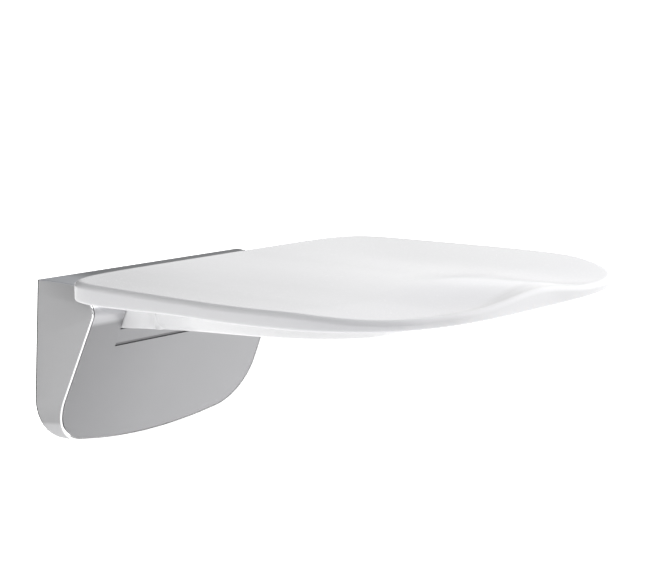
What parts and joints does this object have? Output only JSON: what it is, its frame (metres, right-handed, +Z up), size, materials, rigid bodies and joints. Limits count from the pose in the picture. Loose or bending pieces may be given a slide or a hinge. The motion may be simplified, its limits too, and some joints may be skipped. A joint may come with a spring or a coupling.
{
  "type": "wall-mounted fold-up shower seat",
  "caption": "Wall-mounted shower seat: a contoured moulded seat on a friction hinge in a wedge-shaped metal bracket; the seat folds up flat against the wall.",
  "frame": {"origin": "centre of the four wall screws, on the wall face", "axes": "+Z up, +Y into the wall, the open seat points along -Y, +X to the right seen from the front"},
  "size_m": [0.4336, 0.455, 0.1893],
  "materials": {
    "white_seat": "smooth glossy white moulding",
    "satin_metal": "satin silver-grey with a polished front lip",
    "satin_cover": "satin silver-grey",
    "satin_trim": "satin silver-grey, a shade lighter",
    "cast_plate": "machined casting",
    "frame_paint": "grey powder coat",
    "steel": "stainless, plain",
    "gasket_rubber": "matt",
    "stop_rubber": "matt, hard",
    "bush_plastic": "natural bearing plastic",
    "friction_lining": "friction lining"
  },
  "bodies": {
    "bracket": {"wall_plate": "cast_plate", "wall_gasket": "gasket_rubber", "bracket_housing": "satin_metal", "front_cover": "satin_cover", "hinge_trim": "satin_trim", "shaft_bushes": "bush_plastic", "stop_pads": "stop_rubber", "housing_screws": "steel", "cover_clips": "steel"},
    "seat": {"seat_top": "white_seat", "seat_underside": "white_seat", "hinge_hood": "white_seat", "hood_caps": "white_seat", "seat_frame": "frame_paint", "hinge_shaft": "steel", "spacer_tube": "steel", "hub_pins": "steel", "thrust_washers": "bush_plastic", "friction_washers": "friction_lining", "stop_cams": "steel", "cam_keys": "steel", "disc_springs": "steel", "lock_nuts": "steel", "frame_screws": "steel", "shell_screws": "steel"}
  },
  "joints": [
    {"name": "seat_fold", "type": "hinge", "parent": "bracket", "child": "seat", "pos_m": [0, -0.052, 0.0545], "axis": [-1, 0, 0], "range_deg": [0, 90]}
  ]
}
